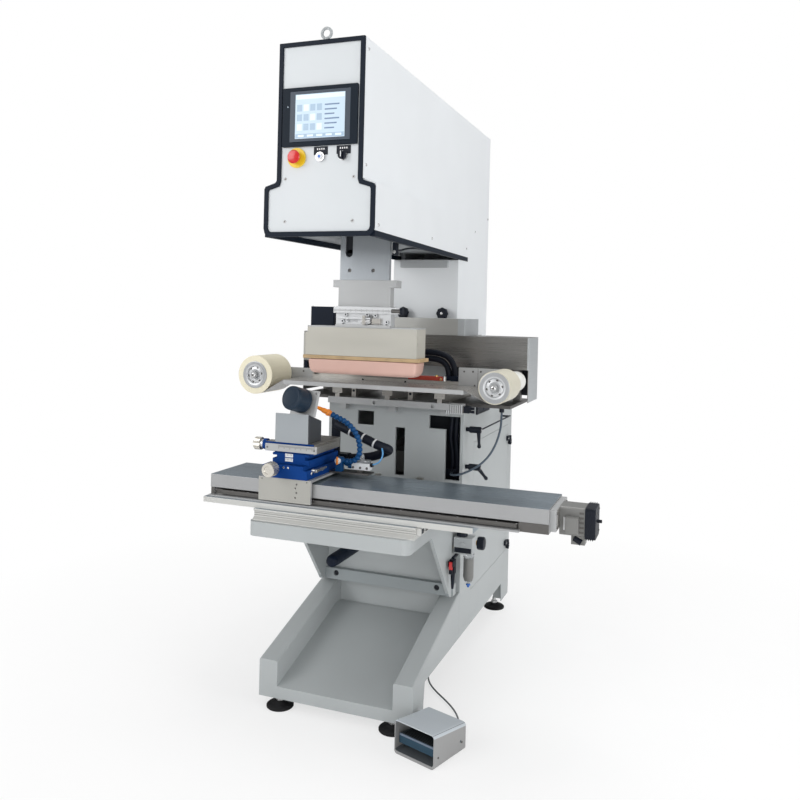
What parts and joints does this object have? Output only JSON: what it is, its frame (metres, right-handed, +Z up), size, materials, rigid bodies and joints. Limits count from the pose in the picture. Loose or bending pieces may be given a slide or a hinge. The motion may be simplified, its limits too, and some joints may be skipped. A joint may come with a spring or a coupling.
{
  "type": "pad printing machine",
  "caption": "Floor-standing pad printing machine with a C-shaped frame, a silicone pad on a sliding arm, a tape cleaning carriage, a motor-driven table and a foot switch.",
  "frame": {"origin": "bottom centre of the bounding box of the whole machine, foot switch included and loose cords left out, at floor level", "axes": "+X to the operator's right, +Y from the operator towards the column, +Z up"},
  "size_m": [1.339, 1.505, 2.172],
  "materials": {
    "stand_paint": "satin powder coat",
    "frame_paint": "satin paint",
    "head_paint": "satin powder coat",
    "trim_paint": "satin paint",
    "steel_plate": "ground",
    "dark_steel": "ground",
    "stainless": "brushed",
    "bright_steel": "ground",
    "chrome_knob": "polished, knurled",
    "aluminium": "natural anodised",
    "cream_paint": "satin",
    "pink_silicone": "smooth silicone",
    "cream_tape": "smooth",
    "blue_anodised": "gloss",
    "motor_paint": "satin",
    "dark_plastic": "fine grain",
    "white_plastic": "smooth",
    "red_plastic": "smooth",
    "orange_plastic": "smooth",
    "treadle_paint": "cast, painted",
    "cable_grey": "smooth",
    "black_rubber": "moulded"
  },
  "bodies": {
    "stand": {"foot_tray": "stand_paint", "stand_frame": "stand_paint", "cabinet_panels": "stand_paint", "levelling_feet": "black_rubber", "bed_frame": "steel_plate", "column_frame": "frame_paint", "side_covers": "head_paint", "head_covers": "head_paint", "head_trim": "trim_paint", "front_panel": "head_paint", "touch_screen": "dark_plastic", "lifting_eye": "bright_steel", "cover_screws": "bright_steel", "hood": "stainless", "air_unit": "motor_paint", "inner_equipment": "motor_paint", "pedal_guard": "stand_paint", "pedal_cord": "cable_grey", "side_cable": "cable_grey", "panel_fittings": "dark_plastic"},
    "ram": {"ram_frame": "frame_paint"},
    "pad_slide": {"slide_unit": "aluminium", "pad_backing": "cream_paint", "silicone_pad": "pink_silicone"},
    "pad_screw": {"pad_screw": "bright_steel"},
    "ram_screw": {"ram_screw": "bright_steel"},
    "print_carriage": {"carriage_frame": "dark_steel", "tape_platen": "aluminium", "carriage_conduits": "dark_plastic"},
    "roll_left": {"tape_roll_left": "cream_tape"},
    "roll_right": {"tape_roll_right": "cream_tape"},
    "knee": {"knee_bracket": "stand_paint", "table_beam": "aluminium", "axis_profile": "aluminium", "axis_cover": "aluminium", "axis_motor": "motor_paint"},
    "lift_grip": {"lift_grip": "dark_plastic"},
    "axis_screw": {"axis_screw": "bright_steel"},
    "table_carriage": {"table_saddle": "aluminium", "stage_base": "blue_anodised", "air_fittings": "white_plastic", "cable_arm": "dark_plastic"},
    "cross_slide": {"cross_slide": "blue_anodised"},
    "cross_knob": {"cross_knob": "chrome_knob"},
    "top_slide": {"top_slide": "aluminium", "sample_cap": "dark_plastic"},
    "top_knob": {"top_knob": "chrome_knob"},
    "hose_tap": {"hose_tap": "orange_plastic"},
    "stop_cap": {"stop_cap": "red_plastic"},
    "push_button": {"push_button": "white_plastic"},
    "selector_knob": {"selector_knob": "dark_plastic"},
    "column_knob_left": {"column_knob_left": "dark_plastic"},
    "column_knob_right": {"column_knob_right": "dark_plastic"},
    "clamp_lever_upper": {"clamp_lever_upper": "dark_plastic"},
    "clamp_lever_lower": {"clamp_lever_lower": "dark_plastic"},
    "regulator_knob": {"regulator_knob": "dark_plastic"},
    "gun_trigger": {"gun_trigger": "red_plastic"},
    "pedal_treadle": {"pedal_treadle": "treadle_paint"},
    "service_door": {"service_door": "stand_paint"},
    "door_knob": {"door_knob": "dark_plastic"}
  },
  "joints": [
    {"name": "ram_move", "type": "slide", "parent": "stand", "child": "ram", "axis": [0, -1, 0], "range_m": [-0.1, 0.25]},
    {"name": "ram_screw_turn", "type": "hinge", "parent": "stand", "child": "ram_screw", "pos_m": [-0.1505, 0.2775, 1.6], "axis": [0, 1, 0], "continuous": true},
    {"name": "pad_drop", "type": "slide", "parent": "ram", "child": "pad_slide", "axis": [0, 0, -1], "range_m": [-0.095, 0.029]},
    {"name": "pad_screw_turn", "type": "hinge", "parent": "ram", "child": "pad_screw", "pos_m": [-0.1505, -0.3145, 1.8], "axis": [0, 0, 1], "continuous": true},
    {"name": "carriage_move", "type": "slide", "parent": "stand", "child": "print_carriage", "axis": [0, 1, 0], "range_m": [0, 0.1]},
    {"name": "roll_left_turn", "type": "hinge", "parent": "print_carriage", "child": "roll_left", "pos_m": [-0.5995, -0.2325, 1.072], "axis": [0, 1, 0], "continuous": true},
    {"name": "roll_right_turn", "type": "hinge", "parent": "print_carriage", "child": "roll_right", "pos_m": [0.2985, -0.2325, 1.072], "axis": [0, 1, 0], "continuous": true},
    {"name": "knee_lift", "type": "slide", "parent": "stand", "child": "knee", "axis": [0, 0, 1], "range_m": [0, 0.07]},
    {"name": "lift_grip_turn", "type": "hinge", "parent": "knee", "child": "lift_grip", "pos_m": [-0.2105, -0.2725, 0.476], "axis": [0, 1, 0], "continuous": true},
    {"name": "table_move", "type": "slide", "parent": "knee", "child": "table_carriage", "axis": [1, 0, 0], "range_m": [-0.17, 0.6]},
    {"name": "axis_screw_turn", "type": "hinge", "parent": "knee", "child": "axis_screw", "pos_m": [-0.1505, -0.4605, 0.712], "axis": [1, 0, 0], "continuous": true},
    {"name": "cross_move", "type": "slide", "parent": "table_carriage", "child": "cross_slide", "axis": [0, 1, 0], "range_m": [-0.025, 0.025]},
    {"name": "cross_knob_turn", "type": "hinge", "parent": "table_carriage", "child": "cross_knob", "pos_m": [-0.3425, -0.6225, 0.804], "axis": [0, 1, 0], "continuous": true},
    {"name": "top_move", "type": "slide", "parent": "cross_slide", "child": "top_slide", "axis": [1, 0, 0], "range_m": [-0.025, 0.025]},
    {"name": "top_knob_turn", "type": "hinge", "parent": "top_slide", "child": "top_knob", "pos_m": [-0.4305, -0.5505, 0.869], "axis": [1, 0, 0], "continuous": true},
    {"name": "hose_tap_turn", "type": "hinge", "parent": "table_carriage", "child": "hose_tap", "pos_m": [-0.1985, -0.4385, 0.812], "axis": [0, 1, 0], "range_deg": [0, 90]},
    {"name": "stop_cap_push", "type": "slide", "parent": "stand", "child": "stop_cap", "axis": [0, 1, 0], "range_m": [0, 0.005]},
    {"name": "push_button_press", "type": "slide", "parent": "stand", "child": "push_button", "axis": [0, 1, 0], "range_m": [0, 0.003], "stiffness_N_per_m": 1500, "springref_m": -0.002},
    {"name": "selector_turn", "type": "hinge", "parent": "stand", "child": "selector_knob", "pos_m": [-0.0715, -0.7225, 1.772], "axis": [0, 1, 0], "range_deg": [0, 90]},
    {"name": "column_knob_left_turn", "type": "hinge", "parent": "stand", "child": "column_knob_left", "pos_m": [-0.2355, 0.2575, 1.312], "axis": [0, 1, 0], "continuous": true},
    {"name": "column_knob_right_turn", "type": "hinge", "parent": "stand", "child": "column_knob_right", "pos_m": [-0.0655, 0.2575, 1.312], "axis": [0, 1, 0], "continuous": true},
    {"name": "clamp_lever_upper_turn", "type": "hinge", "parent": "stand", "child": "clamp_lever_upper", "pos_m": [0.1495, -0.0025, 0.886], "axis": [1, 0, 0], "range_deg": [-45, 60]},
    {"name": "clamp_lever_lower_turn", "type": "hinge", "parent": "stand", "child": "clamp_lever_lower", "pos_m": [0.1495, -0.0025, 0.748], "axis": [1, 0, 0], "range_deg": [-30, 60]},
    {"name": "regulator_turn", "type": "hinge", "parent": "stand", "child": "regulator_knob", "pos_m": [0.1375, -0.0825, 0.525], "axis": [0, 0, 1], "range_deg": [-150, 150]},
    {"name": "trigger_pull", "type": "hinge", "parent": "stand", "child": "gun_trigger", "pos_m": [0.1235, -0.1705, 0.436], "axis": [1, 0, 0], "range_deg": [0, 7], "stiffness_Nm_per_rad": 0.15, "springref_deg": -5.73},
    {"name": "treadle_press", "type": "hinge", "parent": "stand", "child": "pedal_treadle", "pos_m": [0.21344, -0.53678, 0.034], "axis": [0.9455, -0.3256, 0], "range_deg": [0, 8], "stiffness_Nm_per_rad": 6, "springref_deg": -8.59},
    {"name": "door_open", "type": "hinge", "parent": "stand", "child": "service_door", "pos_m": [0.1305, 0.6895, 0.54], "axis": [0, 0, 1], "range_deg": [0, 100]},
    {"name": "door_knob_turn", "type": "hinge", "parent": "service_door", "child": "door_knob", "pos_m": [0.1495, 0.1335, 0.432], "axis": [1, 0, 0], "range_deg": [0, 90]}
  ],
  "couplings": [
    {"joint": "ram_screw_turn", "follows": "ram_move", "rad_per_m": 314.16},
    {"joint": "pad_screw_turn", "follows": "pad_drop", "rad_per_m": 314.16},
    {"joint": "roll_right_turn", "follows": "roll_left_turn", "ratio": 1.2727},
    {"joint": "lift_grip_turn", "follows": "knee_lift", "rad_per_m": 1570.8},
    {"joint": "axis_screw_turn", "follows": "table_move", "rad_per_m": 314.16},
    {"joint": "cross_knob_turn", "follows": "cross_move", "rad_per_m": 3141.6},
    {"joint": "top_knob_turn", "follows": "top_move", "rad_per_m": 3141.6}
  ]
}
